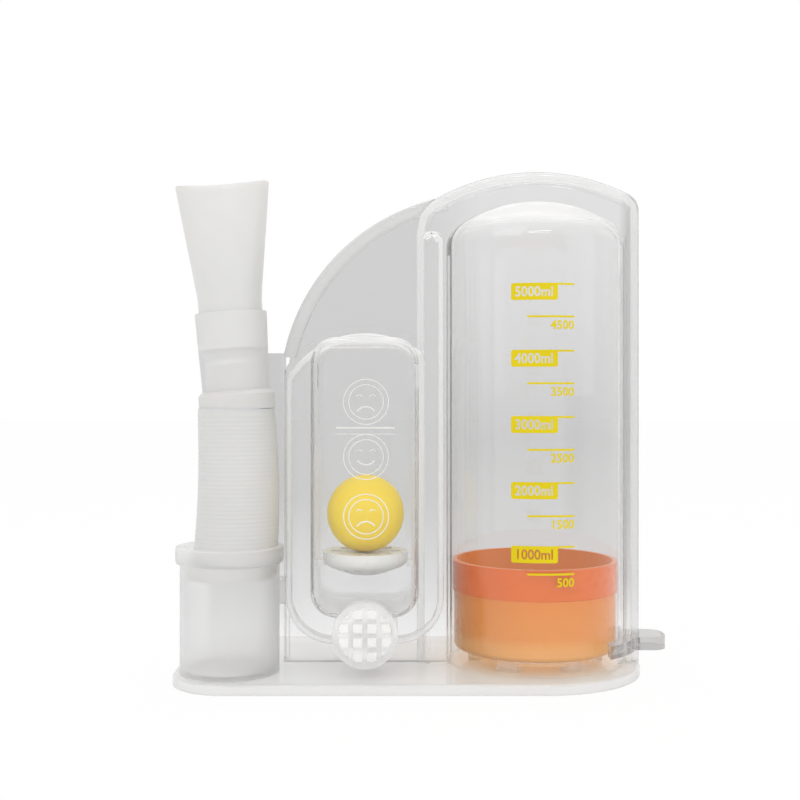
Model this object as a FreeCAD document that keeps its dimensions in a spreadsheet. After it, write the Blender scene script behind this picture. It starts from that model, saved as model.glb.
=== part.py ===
import FreeCAD, Part
import math
import os
import Sketcher

# Volumetric incentive spirometer: a clear two-shell body on a shallow base tray, with a big measuring
# chamber and its orange piston on the right, a ball flow indicator beside it, and a cup on the left
# that holds the ribbed hose and the mouthpiece. Millimetres. +Z is up and the scale faces -Y.
# The origin lies under the middle of the base, on the face that it stands on.

Vector = FreeCAD.Vector
doc = FreeCAD.newDocument("incentive_spirometer")

SIZES = {
    # body of the measuring chamber
    "chamber_x": 55.8, "chamber_radius": 38.8, "chamber_wall": 2.4, "chamber_top": 204.5,
    "crown_radius": 60, "knuckle_radius": 12,
    # piston, its band and the ring that it rests on
    "piston_radius": 35.2, "piston_wall": 1.4, "piston_floor": 1.8, "piston_height": 38.3,
    "piston_bend": 2.5, "band_height": 13, "bore_clearance": 0.5, "rest_gap": 0.3,
    "rest_height": 5.4, "rest_radius": 29, "rest_ring_width": 5, "rest_foot_height": 3, "rest_foot_width": 9,
    # base tray
    "base_height": 4.5, "base_skin": 1.6, "base_skirt": 1.8, "base_border": 6.6, "base_edge": 1.4,
    "vent_radius": 8,
    # flanges, steps and sheets of the two shells
    "joint_y": -6, "joint_gap": 0.05, "sheet": 2, "shell_wall": 1.7,
    "flange_left": 3.7, "flange_right": 100, "flange_top": 216.6, "arch_radius": 88,
    "flange_left_bend": 14, "flange_right_bend": 8, "step_inset": 4, "step_depth": 6,
    # ball flow indicator and the airway round it
    "flow_x": -18, "flow_half_width": 22.6, "flow_top": 144.2, "flow_bottom": 27.5,
    "flow_front": -32.5, "flow_back": 8.5, "flow_bend": 11, "flow_face_bend": 6,
    "panel_left": -53.5, "panel_arch_top": 150.2, "panel_arch_radius": 42,
    "airway_left": -51.8, "airway_right": 15.4, "airway_bottom": 14.2, "airway_top": 146.4,
    "airway_depth": 10, "airway_bend": 20, "airway_arch_radius": 39,
    "airway_edge": 2.2, "duct_foot": 60, "duct_top": 190, "duct_bend": 4,
    "duct_port": 8, "flow_port": 10,
    "ball_radius": 16.5, "ball_z": 69.5,
    "seat_radius": 18.3, "seat_side": 5.5, "seat_bulge": 4.6, "seat_dip": 0.9, "seat_flat": 6.4,
    "seat_hole": 2.4, "seat_hole_circle": 12.6, "seat_bar_width": 6, "seat_bar_height": 2.5,
    # air inlet with its grille and foam
    "inlet_x": -17.5, "inlet_z": 22.5, "inlet_radius": 13.4, "inlet_front": -39.2,
    "inlet_wall": 1.7, "grille_thickness": 2.2, "grille_field": 10.9,
    "grille_hole": 3.7, "grille_bar": 2.05, "filter_thickness": 4,
    # carrying handle
    "handle_x": 32.2, "handle_z": 120, "handle_radius": 87.6, "handle_rim": 5.5,
    "handle_rim_depth": 8, "handle_rim_bend": 1.6, "handle_foot_z": 136.5,
    # cup that holds the hose, and the plate behind it
    "cup_x": -74.7, "cup_radius": 20.7, "cup_wall": 1.4, "cup_height": 52.5,
    "cup_floor": 1.5, "cup_rim_radius": 22.5, "cup_rim_height": 7, "cup_foot": 23.6,
    "cup_port_bottom": 31, "cup_port_top": 42, "cup_port_wall": 1.4,
    "plate_left": -87.5, "plate_y": 1, "plate_thickness": 2, "plate_top": 138.6, "plate_bend": 3,
    # hose
    "hose_x": -73.4, "hose_bottom": 50, "hose_top": 114.5, "hose_bottom_radius": 17.4,
    "hose_top_radius": 15.7, "rib_depth": 0.9, "rib_pitch": 2.15, "hose_wall": 1.1,
    "plug_height": 6, "plug_clearance": 0.3, "plug_bore": 11,
    # valve body and mouthpiece, which lean to the left together
    "lean": 3.9, "lean_x": -72.1, "lean_z": 121.8,
    "cuff_radius": 15.8, "cuff_height": 8, "cuff_chamfer": 1.6,
    "valve_top_radius": 14.95, "valve_foot_radius": 14, "valve_length": 32.7, "valve_lip": 1.2,
    "valve_bore": 11.2, "valve_seat_height": 11, "valve_seat_thickness": 1.5, "spoke_width": 1.8,
    "flap_radius": 9.4, "flap_thickness": 0.8, "flap_gap": 0.05,
    "neck_radius": 13.3, "neck_clearance": 0.06, "neck_depth": 15, "neck_rise": 6,
    "mouth_length": 54.5, "mouth_width": 39.2, "mouth_depth": 23, "mouth_wall": 1.5,
    "mouth_dip": 2.6,
    # goal slider on the right-hand flange
    "slider_z": 12, "slider_thickness": 5.5, "slider_gap": 0.3, "slider_reach": 10.3,
    "slider_lip": 3, "slider_arm": 5.5, "slider_tab_front": 6, "slider_pointer": 27,
    "slider_bend": 6,
}


class Size:
    """A length that knows both its number and the expression that gives it."""

    def __init__(self, value, text):
        self.value = value
        self.text = text

    def combine(self, other, sign, turned=False):
        other = as_size(other)
        first, second = (other, self) if turned else (self, other)
        numbers = {
            "+": first.value + second.value,
            "-": first.value - second.value,
            "*": first.value * second.value,
        }
        return Size(numbers[sign], "(%s %s %s)" % (first.text, sign, second.text))

    def __add__(self, other):
        return self.combine(other, "+")

    def __radd__(self, other):
        return self.combine(other, "+", turned=True)

    def __sub__(self, other):
        return self.combine(other, "-")

    def __rsub__(self, other):
        return self.combine(other, "-", turned=True)

    def __mul__(self, other):
        return self.combine(other, "*")

    def __rmul__(self, other):
        return self.combine(other, "*", turned=True)

    def __neg__(self):
        return self.combine(0, "-", turned=True)

    def __truediv__(self, other):
        other = as_size(other)
        return Size(self.value / other.value, "(%s / %s)" % (self.text, other.text))


def as_size(number):
    return number if isinstance(number, Size) else Size(float(number), repr(float(number)))


def root(size):
    return Size(math.sqrt(size.value), "sqrt(%s)" % size.text)


def across(radius, offset):
    """Half the chord of a circle at this distance from its centre."""
    return root(radius * radius - offset * offset)


def make_sheet():
    sheet = doc.addObject("Spreadsheet::Sheet", "Sizes")
    for row, (name, value) in enumerate(SIZES.items(), 1):
        sheet.set("A%d" % row, name)
        sheet.set("B%d" % row, str(value))
        sheet.setAlias("B%d" % row, name)
    doc.recompute()
    return {name: Size(float(sheet.get(name)), "Sizes." + name) for name in SIZES}


S = make_sheet()

# Sizes that several pieces share
base_top = S["base_height"]
chamber_bore = S["chamber_radius"] - S["chamber_wall"]
sheet_front = S["joint_y"] - S["sheet"]
joint_back = S["joint_y"] + S["joint_gap"]
sheet_back = S["joint_y"] + S["sheet"]
arch_z = S["flange_top"] - S["arch_radius"]
step_front = S["joint_y"] - S["step_depth"]
airway_front = S["joint_y"] - S["airway_depth"]
base_end = S["chamber_radius"] + S["base_border"]
cup_y = S["cup_foot"] - base_end
rest_top = base_top + S["rest_height"]
piston_bottom = rest_top + S["rest_gap"]
ball_y = (S["flow_front"] + S["flow_back"]) / 2
cup_top = base_top + S["cup_height"]
cup_bore = S["cup_radius"] - S["cup_wall"]
plug_bottom = S["hose_bottom"] - S["plug_height"]
tall = S["flange_top"] * 2


def bind(thing, **sizes):
    for name, size in sizes.items():
        size = as_size(size)
        setattr(thing, name, size.value)
        thing.setExpression(name, size.text)
    return thing


def place(thing, at, turn=None):
    """Puts a piece at a point given by sizes, after an optional turn."""
    at = [as_size(part) for part in at]
    turn = turn or FreeCAD.Rotation()
    thing.Placement = FreeCAD.Placement(Vector(*[part.value for part in at]), turn)
    for axis, part in zip("xyz", at):
        thing.setExpression("Placement.Base." + axis, part.text)
    return thing


TURNS = {
    "x": FreeCAD.Rotation(Vector(0, 1, 0), 90),
    "y": FreeCAD.Rotation(Vector(1, 0, 0), -90),
    "z": FreeCAD.Rotation(),
}


def block(name, x, y, z):
    """A box between two values on each axis."""
    box = doc.addObject("Part::Box", name)
    bind(box, Length=x[1] - x[0], Width=y[1] - y[0], Height=z[1] - z[0])
    return place(box, (x[0], y[0], z[0]))


def rod(name, radius, length, at, along="z"):
    """A cylinder that starts at a point and runs along one axis."""
    bar = doc.addObject("Part::Cylinder", name)
    bind(bar, Radius=radius, Height=length)
    return place(bar, at, TURNS[along])


def fuse(name, *shapes):
    whole = doc.addObject("Part::MultiFuse", name)
    whole.Shapes = list(shapes)
    whole.Refine = True
    return whole


def overlap(name, *shapes):
    shared = doc.addObject("Part::MultiCommon", name)
    shared.Shapes = list(shapes)
    return shared


def cut(name, base, tool):
    rest = doc.addObject("Part::Cut", name)
    rest.Base = base
    rest.Tool = tool
    rest.Refine = True
    return rest


def soften(name, base, radius, chosen):
    """Rounds the edges that a test picks."""
    doc.recompute()
    edges = [n for n, edge in enumerate(base.Shape.Edges, 1) if chosen(edge)]
    rounded = doc.addObject("Part::Fillet", name)
    rounded.Base = base
    rounded.Edges = [(n, as_size(radius).value, as_size(radius).value) for n in edges]
    return rounded


def edge_span(edge, axis):
    box = edge.BoundBox
    return {"x": box.XLength, "y": box.YLength, "z": box.ZLength}[axis]


def runs_along(edge, axis):
    """True for a straight edge along one axis."""
    others = [other for other in "xyz" if other != axis]
    return edge_span(edge, axis) > 0.1 and all(edge_span(edge, other) < 1e-4 for other in others)


def lies_at_y(edge, y):
    return abs(edge.BoundBox.YMin - y) < 1e-3 and abs(edge.BoundBox.YMax - y) < 1e-3


def lies_at_z(edge, z):
    return abs(edge.BoundBox.ZMin - z) < 1e-3 and abs(edge.BoundBox.ZMax - z) < 1e-3


def new_body(label):
    body = doc.addObject("PartDesign::Body", label)
    body.Label = label
    return body


def new_sketch(body, name, role="XZ_Plane"):
    sketch = body.newObject("Sketcher::SketchObject", name)
    plane = [item for item in body.Origin.OriginFeatures if item.Role == role][0]
    sketch.AttachmentSupport = [(plane, "")]
    sketch.MapMode = "FlatFace"
    return sketch


def fix_point(sketch, line, end, point):
    """Ties a point of a sketch to two sizes."""
    for kind, size, axis in zip(("DistanceX", "DistanceY"), point, (-2, -1)):
        if not isinstance(size, Size):
            sketch.addConstraint(Sketcher.Constraint("PointOnObject", line, end, axis))
            continue
        number = sketch.addConstraint(Sketcher.Constraint(kind, -1, 1, line, end, size.value))
        sketch.setExpression("Constraints[%d]" % number, size.text)


def outline(sketch, corners, bends=None):
    """Draws a closed outline of straight lines. A corner is a pair of sizes, where a plain 0 lies
    on that axis, and bends gives the radius of the corners that are rounded."""
    flat = [Vector(as_size(x).value, as_size(y).value, 0) for x, y in corners]
    count = len(corners)
    for n in range(count):
        sketch.addGeometry(Part.LineSegment(flat[n], flat[(n + 1) % count]), False)
    for n in range(count):
        sketch.addConstraint(Sketcher.Constraint("Coincident", n, 2, (n + 1) % count, 1))
    for n, corner in enumerate(corners):
        fix_point(sketch, n, 1, corner)
    for n, radius in (bends or {}).items():
        sketch.fillet((n - 1) % count, 2, radius.value, True, True)
        arc = sketch.GeometryCount - 2
        number = sketch.addConstraint(Sketcher.Constraint("Radius", arc, radius.value))
        sketch.setExpression("Constraints[%d]" % number, radius.text)
    return sketch


def circle(sketch, radius, centre=(0, 0)):
    middle = Vector(as_size(centre[0]).value, as_size(centre[1]).value, 0)
    ring = sketch.addGeometry(Part.Circle(middle, Vector(0, 0, 1), radius.value), False)
    fix_point(sketch, ring, 3, centre)
    number = sketch.addConstraint(Sketcher.Constraint("Radius", ring, radius.value))
    sketch.setExpression("Constraints[%d]" % number, radius.text)
    return sketch


def turned(label, corners, at, bends=None, turn=None):
    """A piece of revolution about its own upright axis, as a body with one revolved sketch."""
    body = new_body(label)
    sketch = outline(new_sketch(body, label + "_profile"), corners, bends)
    spin = body.newObject("PartDesign::Revolution", label + "_turned")
    spin.Profile = sketch
    spin.ReferenceAxis = (sketch, ["V_Axis"])
    spin.Angle = 360
    place(body, at, turn)
    return body


def pocket(body, sketch, length, name, reverse=False):
    before = body.Shape.Volume if body.Shape.isValid() else 0
    hollow = body.newObject("PartDesign::Pocket", name)
    hollow.Profile = sketch
    hollow.Midplane = length is None
    hollow.Type = 1 if length is None else 0
    if length is not None:
        bind(hollow, Length=length)
        hollow.Reversed = reverse
    doc.recompute()
    if not body.Shape.Volume < before - 1e-3:
        raise RuntimeError(name + " cuts nothing")
    return hollow


LEAN = FreeCAD.Rotation(Vector(0, 1, 0), -SIZES["lean"])


def lean_point(rise):
    """A point on the leaning axis of the valve body, this far above the hose's end."""
    sine = Size(math.sin(math.radians(S["lean"].value)), "sin(Sizes.lean * 1 deg)")
    cosine = Size(math.cos(math.radians(S["lean"].value)), "cos(Sizes.lean * 1 deg)")
    rise = as_size(rise)
    return S["lean_x"] - rise * sine, cup_y, S["lean_z"] + rise * cosine


def arched_slab(name, x, y, bottom, middle, top, radius):
    """A slab with straight sides whose top is an arch of the given radius."""
    centre = top - radius
    legs = block(name + "_legs", x, y, (bottom, centre))
    crown = block(name + "_crown", x, y, (centre, top))
    disc = rod(name + "_disc", radius, y[1] - y[0], (middle, y[0], centre), "y")
    return fuse(name, legs, overlap(name + "_arch", crown, disc))


def main_flange(name, inset, y):
    """The outline round the measuring chamber, drawn in from its edge by an inset."""
    x = (S["flange_left"] + inset, S["flange_right"] - inset)
    slab = arched_slab(name + "_slab", x, y, base_top, S["chamber_x"], S["flange_top"] - inset,
                       S["arch_radius"] - inset)
    high = arch_z.value
    left = soften(name + "_left", slab, S["flange_left_bend"] - inset,
                  lambda edge: runs_along(edge, "y") and edge.BoundBox.ZMin > high
                  and abs(edge.BoundBox.XMin - x[0].value) < 1e-3)
    return soften(name, left, S["flange_right_bend"] - inset,
                  lambda edge: runs_along(edge, "y") and edge.BoundBox.ZMin > high
                  and abs(edge.BoundBox.XMax - x[1].value) < 1e-3)


def flow_flange(name, y):
    """The lower sheet that carries the flow indicator, from the cup to the chamber."""
    x = (S["panel_left"], S["flange_left"] + S["flange_left_bend"])
    return arched_slab(name, x, y, base_top, S["flow_x"], S["panel_arch_top"],
                       S["panel_arch_radius"])


def capsule(name, inset):
    """The measuring chamber's form: a cylinder under a shallow dome with a rounded shoulder."""
    inset = as_size(inset).value
    wide = S["chamber_radius"].value - inset
    crown = S["crown_radius"].value - inset
    knuckle = S["knuckle_radius"].value - inset
    top = S["chamber_top"].value - inset
    centre = top - crown
    hub = wide - knuckle
    shoulder = centre + math.sqrt((crown - knuckle) ** 2 - hub ** 2)
    lean_angle = math.atan2(hub, shoulder - centre)

    def point(radius, angle, x, z):
        return Vector(0, x + radius * math.sin(angle), z + radius * math.cos(angle))

    low, high = Vector(0, 0, base_top.value), Vector(0, 0, top)
    foot, side = Vector(0, wide, base_top.value), Vector(0, wide, shoulder)
    meet = point(crown, lean_angle, 0, centre)
    bend = point(knuckle, (lean_angle + math.pi / 2) / 2, hub, shoulder)
    edges = [Part.LineSegment(low, foot).toShape(), Part.LineSegment(foot, side).toShape(),
             Part.Arc(side, bend, meet).toShape(),
             Part.Arc(meet, point(crown, lean_angle / 2, 0, centre), high).toShape(),
             Part.LineSegment(high, low).toShape()]
    form = doc.addObject("Part::Feature", name)
    form.Shape = Part.Face(Part.Wire(edges)).revolve(Vector(), Vector(0, 0, 1), 360)
    return place(form, (S["chamber_x"], 0, 0))


def airway_form(name, inset, y):
    """The raised channel round the flow indicator, which climbs beside the chamber as a duct."""
    x = (S["airway_left"] + inset, S["airway_right"] - inset)
    bottom = S["airway_bottom"] + inset
    loop = arched_slab(name + "_loop", x, y, bottom, S["flow_x"], S["airway_top"] - inset,
                       S["airway_arch_radius"] - inset)
    duct_left = S["flange_left"] + S["shell_wall"] + inset
    z = (S["duct_foot"], S["duct_top"] - inset)
    duct = soften(name + "_duct", block(name + "_duct_box", (duct_left, x[1]), y, z),
                  S["duct_bend"] - inset, lambda edge: runs_along(edge, "y") and lies_at_z(edge, z[1].value))
    whole = fuse(name + "_whole", loop, duct)
    low = S["airway_bottom"].value + S["airway_bend"].value
    return soften(name, whole, S["airway_bend"] - inset,
                  lambda edge: runs_along(edge, "y") and edge.BoundBox.ZMax < low)


def flow_form(name, inset, y, flat):
    """The window in which the ball climbs, rounded at its corners and round its flat face."""
    x = (S["flow_x"] - S["flow_half_width"] + inset, S["flow_x"] + S["flow_half_width"] - inset)
    z = (S["flow_bottom"] + inset, S["flow_top"] - inset)
    bend = S["flow_bend"] - inset
    corners = soften(name + "_corners", block(name + "_box", x, y, z), bend,
                     lambda edge: runs_along(edge, "y"))
    return soften(name, corners, S["flow_face_bend"] - inset, lambda edge: lies_at_y(edge, flat.value))


def inlet_rod(name, inset, y):
    return rod(name, S["inlet_radius"] - inset, y[1] - y[0], (S["inlet_x"], y[0], S["inlet_z"]), "y")


def half_space(name, y):
    return block(name, (-tall, tall), y, (base_top, tall))


def front_shell():
    """Clear front moulding: flange, raised step, airway, ball window, inlet boss and half a chamber."""
    wall = S["shell_wall"]
    front = (-tall, S["joint_y"])
    sheet = (sheet_front, S["joint_y"])
    raised = (airway_front, S["joint_y"])
    window = (S["flow_front"], S["joint_y"])
    step = soften("front_step_soft", main_flange("front_step", S["step_inset"], (step_front, S["joint_y"])),
                  wall, lambda edge: lies_at_y(edge, step_front.value))
    airway = soften("front_airway_soft", airway_form("front_airway", 0, raised), S["airway_edge"],
                    lambda edge: lies_at_y(edge, airway_front.value))
    chamber = overlap("front_chamber", capsule("front_capsule", 0), half_space("front_side", front))
    grille_back = S["inlet_front"] + S["grille_thickness"] + S["joint_gap"]
    outside = fuse("front_outside", main_flange("front_flange", 0, sheet),
                   flow_flange("front_panel", sheet), step, airway, chamber,
                   flow_form("front_window", 0, window, S["flow_front"]),
                   inlet_rod("front_boss", 0, (grille_back, sheet_front)))

    step_hollow = cut("front_step_hollow",
                      main_flange("front_step_core", S["step_inset"] + wall,
                                  (step_front + wall, S["joint_y"])),
                      capsule("front_step_guard", 0))
    airway_core = airway_form("front_airway_core", wall, (airway_front + wall, S["joint_y"]))
    guards = fuse("front_airway_guards", flow_form("front_window_guard", 0, window, S["flow_front"]),
                  capsule("front_duct_guard", 0))
    airway_hollow = cut("front_airway_hollow", airway_core, guards)
    duct_port = block("front_duct_port", (S["airway_right"] - wall, S["chamber_x"] - chamber_bore / 2),
                      (step_front + wall, S["joint_y"]),
                      (S["duct_top"] - wall - S["duct_port"], S["duct_top"] - wall))
    port_reach = S["flow_half_width"] + wall / 2
    flow_port = block("front_flow_port",
                      (S["flow_x"] - port_reach, S["flow_x"] + port_reach),
                      (airway_front + wall, sheet_front),
                      (S["flow_top"] - S["flow_bend"] - S["flow_port"], S["flow_top"] - S["flow_bend"]))
    cup_port = block("front_cup_port", (S["panel_left"], S["airway_left"] + wall * 3), cup_port_y(True),
                     cup_port_z(True))
    cores = fuse("front_cores",
                 overlap("front_chamber_core", capsule("front_bore", S["chamber_wall"]),
                         half_space("front_core_side", front)),
                 step_hollow, airway_hollow,
                 flow_form("front_window_core", wall, (S["flow_front"] + wall, S["joint_y"]),
                           S["flow_front"] + wall),
                 inlet_rod("front_boss_core", wall, (grille_back, airway_front)),
                 duct_port, flow_port, cup_port)
    return cut("front_shell", outside, cores)


def cup_port_y(hole):
    inset = S["cup_port_wall"] if hole else as_size(0)
    edge = S["shell_wall"] / 2
    return airway_front + edge + inset, sheet_front - S["slider_gap"] - inset


def cup_port_z(hole):
    inset = S["cup_port_wall"] if hole else as_size(0)
    return S["cup_port_bottom"] + inset, S["cup_port_top"] - inset


def handle_sheet(name, radius, y, bottom):
    """The part of a disc that spans from the panel's left edge to the main flange."""
    x = (S["panel_left"], S["flange_left"] + S["flange_left_bend"])
    area = block(name + "_area", x, y, (bottom, S["handle_z"] + S["handle_radius"]))
    disc = rod(name + "_disc", radius, y[1] - y[0], (S["handle_x"], y[0], S["handle_z"]), "y")
    return overlap(name, area, disc)


def handle_rim():
    """The rounded rim along the top of the handle, which a hand closes round."""
    y = (S["joint_y"] - S["handle_rim_depth"] / 2 + S["sheet"] / 2,
         S["joint_y"] + S["handle_rim_depth"] / 2 + S["sheet"] / 2)
    band = cut("rear_rim_band", handle_sheet("rear_rim_outer", S["handle_radius"], y, S["handle_foot_z"]),
               handle_sheet("rear_rim_inner", S["handle_radius"] - S["handle_rim"], y, S["handle_z"]))
    right = S["flange_left"].value + S["flange_left_bend"].value - 1
    soft = soften("rear_rim_soft", band, S["handle_rim_bend"],
                  lambda edge: edge_span(edge, "y") < 1e-3 and edge_span(edge, "x") > 30
                  and edge.BoundBox.XMax > right)
    clear = main_flange("rear_rim_clear", -S["slider_gap"], (-tall, joint_back))
    return cut("rear_rim", soft, clear)


def rear_shell():
    """Clear rear moulding: flange, handle web and rim, ball recess and the other half chamber."""
    wall = S["shell_wall"]
    back = (joint_back, tall)
    sheet = (joint_back, sheet_back)
    recess = (joint_back, S["flow_back"])
    chamber = overlap("rear_chamber", capsule("rear_capsule", 0), half_space("rear_side", back))
    edge_rib = block("rear_edge_rib", (S["panel_left"], S["panel_left"] + wall),
                     (joint_back, S["plate_y"] + S["plate_thickness"]),
                     (base_top, S["panel_arch_top"] - S["panel_arch_radius"] / 2))
    outside = fuse("rear_outside", main_flange("rear_flange", 0, sheet), flow_flange("rear_panel", sheet),
                   handle_sheet("rear_web", S["handle_radius"] - S["handle_rim"] / 2, sheet,
                                arch_z - S["arch_radius"] / 4),
                   handle_rim(), edge_rib, chamber,
                   flow_form("rear_recess", 0, recess, S["flow_back"]))
    cores = fuse("rear_cores",
                 overlap("rear_chamber_core", capsule("rear_bore", S["chamber_wall"]),
                         half_space("rear_core_side", back)),
                 flow_form("rear_recess_core", wall, (S["joint_y"], S["flow_back"] - wall),
                           S["flow_back"] - wall))
    return cut("rear_shell", outside, cores)


def base_tray():
    """Shallow tray with a rounded end under the chamber and one under the cup."""
    body = new_body("base_tray")
    left = S["cup_x"] - S["cup_foot"]
    right = S["chamber_x"] + base_end
    back = base_end + 1

    def border(sketch, inset):
        corners = [(left + inset, -base_end + inset), (right - inset, -base_end + inset),
                   (right - inset, back - inset), (left + inset, back - inset)]
        bends = [S["cup_foot"] - inset, base_end - inset, base_end - inset, S["cup_foot"] - inset]
        return outline(sketch, corners, dict(enumerate(bends)))

    pad = body.newObject("PartDesign::Pad", "base_slab")
    pad.Profile = border(new_sketch(body, "base_border", "XY_Plane"), as_size(0))
    bind(pad, Length=S["base_height"])
    doc.recompute()
    top_edges = ["Edge%d" % n for n, edge in enumerate(body.Shape.Edges, 1)
                 if abs(edge.BoundBox.ZMin - base_top.value) < 1e-3]
    rounded = body.newObject("PartDesign::Fillet", "base_top_edge")
    rounded.Base = (pad, top_edges)
    bind(rounded, Radius=S["base_edge"])
    doc.recompute()
    underside = border(new_sketch(body, "base_underside", "XY_Plane"), S["base_skirt"])
    pocket(body, underside, S["base_height"] - S["base_skin"], "base_hollow", reverse=True)
    vent = circle(new_sketch(body, "base_vent", "XY_Plane"), S["vent_radius"], (S["chamber_x"], 0))
    pocket(body, vent, S["base_height"] * 2, "base_vent_hole", reverse=True)
    return body


def piston_rest():
    """Low ring on feet, which carries the piston and lets air in under it."""
    outer = S["rest_radius"]
    inner = outer - S["rest_ring_width"]
    body = turned("piston_rest", [(inner, S["rest_foot_height"]), (outer, S["rest_foot_height"]),
                                  (outer, S["rest_height"]), (inner, S["rest_height"])],
                  (S["chamber_x"], 0, base_top))
    sketch = new_sketch(body, "rest_foot", "XY_Plane")
    half = S["rest_foot_width"] / 2
    outline(sketch, [(inner, -half), (outer, -half), (outer, half), (inner, half)])
    foot = body.newObject("PartDesign::Pad", "rest_foot_pad")
    foot.Profile = sketch
    bind(foot, Length=(S["rest_foot_height"] + S["rest_height"]) / 2)
    doc.recompute()
    ring = body.newObject("PartDesign::PolarPattern", "rest_feet")
    ring.Originals = [foot]
    ring.Axis = (sketch, ["N_Axis"])
    ring.Angle = 360
    ring.Occurrences = 6
    body.Tip = ring
    return body


def piston_cup():
    """Thin orange cup, open at the top."""
    outer, wall, floor = S["piston_radius"], S["piston_wall"], S["piston_floor"]
    high = S["piston_height"]
    return turned("piston_cup", [(0, 0), (outer, 0), (outer, high), (outer - wall, high),
                                 (outer - wall, floor), (0, floor)],
                  (S["chamber_x"], 0, piston_bottom), {1: S["piston_bend"], 4: wall})


def piston_band():
    """Darker band round the top of the piston, which runs in the bore."""
    inner = S["piston_radius"]
    outer = chamber_bore - S["bore_clearance"]
    low = S["piston_height"] - S["band_height"]
    return turned("piston_band", [(inner, low), (outer, low), (outer, S["piston_height"]),
                                  (inner, S["piston_height"])],
                  (S["chamber_x"], 0, piston_bottom), {1: (outer - inner) / 2, 2: (outer - inner) / 2})


def flow_ball():
    ball = doc.addObject("Part::Sphere", "flow_ball")
    bind(ball, Radius=S["ball_radius"])
    return place(ball, (S["flow_x"], ball_y, S["ball_z"]))


def ball_seat():
    """White dish that carries the ball, with a ring of air holes and a bar that spans the window."""
    wide, side, bulge = S["seat_radius"], S["seat_side"], S["seat_bulge"]
    bottom = side + bulge
    body = turned("seat_dish", [(0, 0), (S["seat_flat"], 0), (wide, bulge), (wide, bottom),
                                (wide - S["shell_wall"], bottom), (0, bottom - S["seat_dip"])],
                  (S["flow_x"], ball_y, S["ball_z"] - S["ball_radius"] - S["rest_gap"] - bottom
                   + S["seat_dip"]), {1: wide, 2: bulge})
    doc.recompute()
    sketch = circle(new_sketch(body, "seat_hole", "XY_Plane"), S["seat_hole"],
                    (S["seat_hole_circle"], 0))
    hole = pocket(body, sketch, S["seat_side"] * 4, "seat_hole_cut", reverse=True)
    ring = body.newObject("PartDesign::PolarPattern", "seat_holes")
    ring.Originals = [hole]
    ring.Axis = (sketch, ["N_Axis"])
    ring.Angle = 360
    ring.Occurrences = 8
    body.Tip = ring
    reach = S["flow_half_width"] - S["shell_wall"]
    base_z = S["ball_z"] - S["ball_radius"] - S["rest_gap"] - side
    bars = [block("seat_bar_" + name, (S["flow_x"] + x0, S["flow_x"] + x1),
                  (ball_y - S["seat_bar_width"] / 2, ball_y + S["seat_bar_width"] / 2),
                  (base_z, base_z + S["seat_bar_height"]))
            for name, x0, x1 in (("left", -reach, -wide + 1), ("right", wide - 1, reach))]
    return fuse("ball_seat", body, *bars)


def inlet_grille():
    """Round air inlet with a grid of square holes."""
    y = (S["inlet_front"], S["inlet_front"] + S["grille_thickness"])
    disc = inlet_rod("grille_disc", 0, y)
    pitch = S["grille_hole"] + S["grille_bar"]
    holes = []
    for column in range(4):
        for row in range(4):
            x = S["inlet_x"] + pitch * (column - 1.5)
            z = S["inlet_z"] + pitch * (row - 1.5)
            half = S["grille_hole"] / 2
            holes.append(block("grille_hole_%d_%d" % (column, row), (x - half, x + half),
                               (y[0] - 1, y[1] + 1), (z - half, z + half)))
    field = rod("grille_field", S["grille_field"], y[1] - y[0] + 2,
                (S["inlet_x"], y[0] - 1, S["inlet_z"]), "y")
    pattern = overlap("grille_pattern", fuse("grille_holes", *holes), field)
    return cut("inlet_grille", disc, pattern)


def inlet_filter():
    front = S["inlet_front"] + S["grille_thickness"]
    back = front + S["filter_thickness"]
    return inlet_rod("inlet_filter", S["inlet_wall"] + S["rest_gap"], (front, back))


def hose_cup():
    """Frosted cup with a thick rim, whose side port feeds the airway."""
    wall_out, rim, high = S["cup_radius"], S["cup_rim_radius"], S["cup_height"]
    rim_low = high - S["cup_rim_height"]
    soft = (rim - wall_out) / 2
    form = turned("cup_form", [(0, 0), (wall_out, 0), (wall_out, rim_low), (rim, rim_low), (rim, high),
                               (cup_bore, high), (cup_bore, S["cup_floor"]), (0, S["cup_floor"])],
                  (S["cup_x"], cup_y, base_top), {3: soft, 4: soft, 6: S["cup_wall"]})
    y, z = cup_port_y(False), cup_port_z(False)
    boss_left = S["cup_x"] + across(wall_out, y[0] - cup_y) - S["cup_wall"]
    boss = block("cup_boss", (boss_left - S["cup_wall"], S["airway_left"]), y, z)
    bore = rod("cup_bore", cup_bore, high - S["cup_floor"],
               (S["cup_x"], cup_y, base_top + S["cup_floor"]))
    hole = block("cup_port", (S["cup_x"], S["airway_left"] + 1), cup_port_y(True), cup_port_z(True))
    return cut("hose_cup", fuse("cup_with_boss", form, cut("cup_boss_trimmed", boss, bore)), hole)


def hose_backplate():
    plate = block("backplate_sheet", (S["plate_left"], S["panel_left"]),
                  (S["plate_y"], S["plate_y"] + S["plate_thickness"]), (base_top, S["plate_top"]))
    high = S["plate_top"].value
    left = S["plate_left"].value
    return soften("hose_backplate", plate, S["plate_bend"],
                  lambda edge: runs_along(edge, "y") and edge.BoundBox.ZMin > high - 1
                  and edge.BoundBox.XMax < left + 1)


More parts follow.
